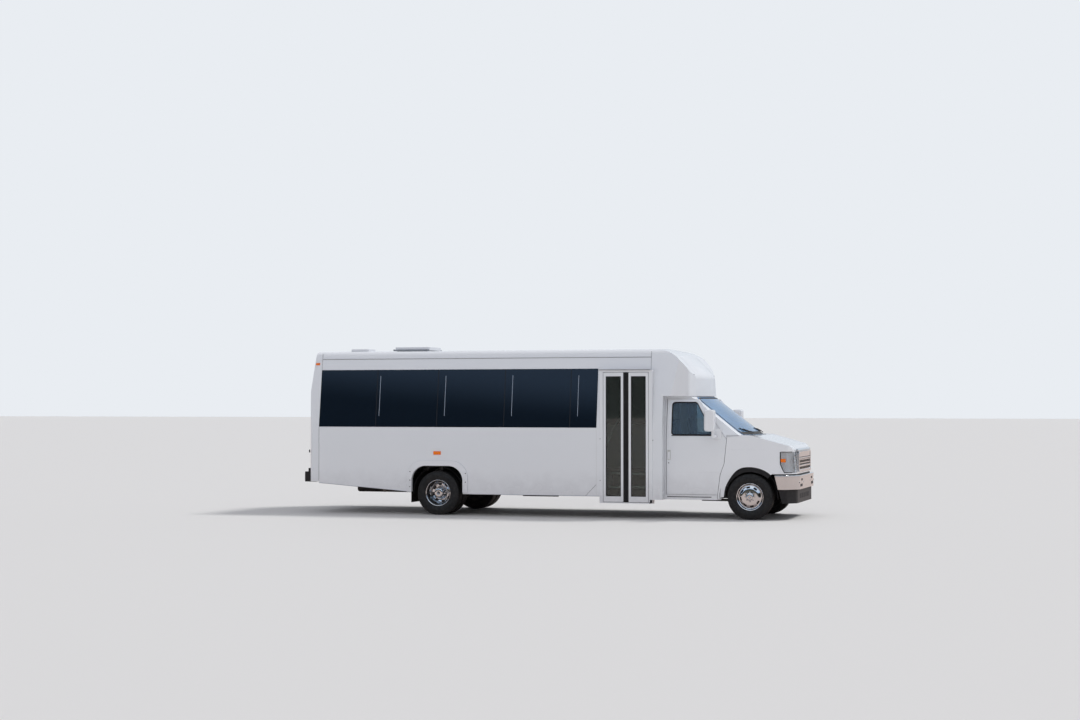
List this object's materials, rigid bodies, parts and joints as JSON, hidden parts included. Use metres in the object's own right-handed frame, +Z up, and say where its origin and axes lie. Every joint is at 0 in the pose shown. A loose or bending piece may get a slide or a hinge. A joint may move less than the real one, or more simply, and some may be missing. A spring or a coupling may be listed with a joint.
{
  "type": "minibus with a cutaway cab",
  "caption": "Short passenger bus: a framed coach body behind a low van cab, with a bifold entry door, twin rear wheels, opening cab doors, hood, rear door and roof hatch.",
  "frame": {"origin": "on the ground under the middle of the vehicle's bounding box", "axes": "+X forward along the vehicle, +Y to its left, +Z up"},
  "size_m": [8.509, 2.59, 2.865],
  "materials": {
    "black_steel": "satin",
    "cast_iron": "rough",
    "steel": "satin",
    "body_white": "gloss",
    "glass": "tinted",
    "floor": "ribbed",
    "bare_aluminium": "satin",
    "rubber": "matte",
    "clear_glass": "clear",
    "grey_plastic": "grained",
    "black_plastic": "grained",
    "cloth": "woven",
    "lamp_clear": "clear",
    "chrome": "polished",
    "lamp_red": "gloss",
    "lamp_amber": "gloss",
    "tyre": "matte"
  },
  "bodies": {
    "coach": {"chassis_frame": "black_steel", "front_axle": "black_steel", "rear_axle": "cast_iron", "driveline": "cast_iron", "engine": "cast_iron", "exhaust": "steel", "fuel_tank": "black_steel", "side_wall_left": "body_white", "side_wall_right": "body_white", "side_glass_left": "glass", "side_glass_right": "glass", "roof": "body_white", "rear_cap": "body_white", "front_cap": "body_white", "coach_floor": "floor", "stepwell": "floor", "entry_frame": "bare_aluminium", "wheel_flares": "body_white", "mud_flaps": "rubber", "cab_shell": "body_white", "windshield": "clear_glass", "dashboard": "grey_plastic", "steering_column": "black_plastic", "cab_seats": "cloth", "passenger_seats": "cloth", "front_fenders": "body_white", "headlamps": "lamp_clear", "grille": "chrome", "front_bumper": "chrome", "air_dam": "black_plastic", "rear_bumper": "black_steel", "tail_lamps": "lamp_red", "marker_lamps": "lamp_amber"},
    "knuckle_left": {"knuckle_left": "cast_iron"},
    "front_wheel_left": {"front_rim_left": "chrome", "front_tyre_left": "tyre"},
    "rear_wheels_left": {"rear_rims_left": "chrome", "rear_tyres_left": "tyre"},
    "cab_door_left": {"cab_door_left": "body_white", "cab_glass_left": "glass"},
    "knuckle_right": {"knuckle_right": "cast_iron"},
    "front_wheel_right": {"front_rim_right": "chrome", "front_tyre_right": "tyre"},
    "rear_wheels_right": {"rear_rims_right": "chrome", "rear_tyres_right": "tyre"},
    "cab_door_right": {"cab_door_right": "body_white", "cab_glass_right": "glass"},
    "steering_wheel": {"steering_wheel": "black_plastic"},
    "entry_leaf_front": {"entry_leaf_front": "body_white", "entry_glass_front": "clear_glass"},
    "entry_leaf_rear": {"entry_leaf_rear": "body_white", "entry_glass_rear": "clear_glass"},
    "rear_door": {"rear_door": "body_white", "rear_door_glass": "glass"},
    "hood": {"hood": "body_white"},
    "roof_hatch": {"roof_hatch": "body_white"}
  },
  "joints": [
    {"name": "steer_left", "type": "hinge", "parent": "coach", "child": "knuckle_left", "pos_m": [3.4865, 0.77, 0.372], "axis": [0, 0, 1], "range_deg": [-35, 35]},
    {"name": "front_wheel_spin_left", "type": "hinge", "parent": "knuckle_left", "child": "front_wheel_left", "pos_m": [3.4865, 0.8815, 0.372], "axis": [0, 1, 0], "continuous": true},
    {"name": "rear_wheels_spin_left", "type": "hinge", "parent": "coach", "child": "rear_wheels_left", "pos_m": [-1.7965, 0.944, 0.372], "axis": [0, 1, 0], "continuous": true},
    {"name": "cab_door_left_hinge", "type": "hinge", "parent": "coach", "child": "cab_door_left", "pos_m": [3.1115, 1, 0.9], "axis": [0, 0, -1], "range_deg": [0, 65]},
    {"name": "steer_right", "type": "hinge", "parent": "coach", "child": "knuckle_right", "pos_m": [3.4865, -0.77, 0.372], "axis": [0, 0, 1], "range_deg": [-35, 35]},
    {"name": "front_wheel_spin_right", "type": "hinge", "parent": "knuckle_right", "child": "front_wheel_right", "pos_m": [3.4865, -0.8815, 0.372], "axis": [0, 1, 0], "continuous": true},
    {"name": "rear_wheels_spin_right", "type": "hinge", "parent": "coach", "child": "rear_wheels_right", "pos_m": [-1.7965, -0.944, 0.372], "axis": [0, 1, 0], "continuous": true},
    {"name": "cab_door_right_hinge", "type": "hinge", "parent": "coach", "child": "cab_door_right", "pos_m": [3.1115, -1, 0.9], "axis": [0, 0, 1], "range_deg": [0, 65]},
    {"name": "steering_wheel_turn", "type": "hinge", "parent": "coach", "child": "steering_wheel", "pos_m": [2.7865, 0.4, 1.15], "axis": [-0.8191, 0, 0.5736], "range_deg": [-600, 600]},
    {"name": "entry_leaf_front_hinge", "type": "hinge", "parent": "coach", "child": "entry_leaf_front", "pos_m": [1.8675, -1.23, 1.3], "axis": [0, 0, 1], "range_deg": [0, 90]},
    {"name": "entry_leaf_rear_hinge", "type": "hinge", "parent": "coach", "child": "entry_leaf_rear", "pos_m": [1.1035, -1.23, 1.3], "axis": [0, 0, 1], "range_deg": [-90, 0]},
    {"name": "rear_door_hinge", "type": "hinge", "parent": "coach", "child": "rear_door", "pos_m": [-4.1495, -0.433, 1.4], "axis": [0, 0, 1], "range_deg": [0, 110]},
    {"name": "hood_hinge", "type": "hinge", "parent": "coach", "child": "hood", "pos_m": [3.4235, 0, 1.358], "axis": [0, -1, 0], "range_deg": [0, 45]},
    {"name": "roof_hatch_hinge", "type": "hinge", "parent": "coach", "child": "roof_hatch", "pos_m": [-2.2825, 0, 2.806], "axis": [0, 1, 0], "range_deg": [0, 70]}
  ],
  "couplings": [
    {"joint": "steer_right", "follows": "steer_left", "ratio": 1},
    {"joint": "steering_wheel_turn", "follows": "steer_left", "ratio": 17},
    {"joint": "entry_leaf_rear_hinge", "follows": "entry_leaf_front_hinge", "ratio": -1}
  ]
}
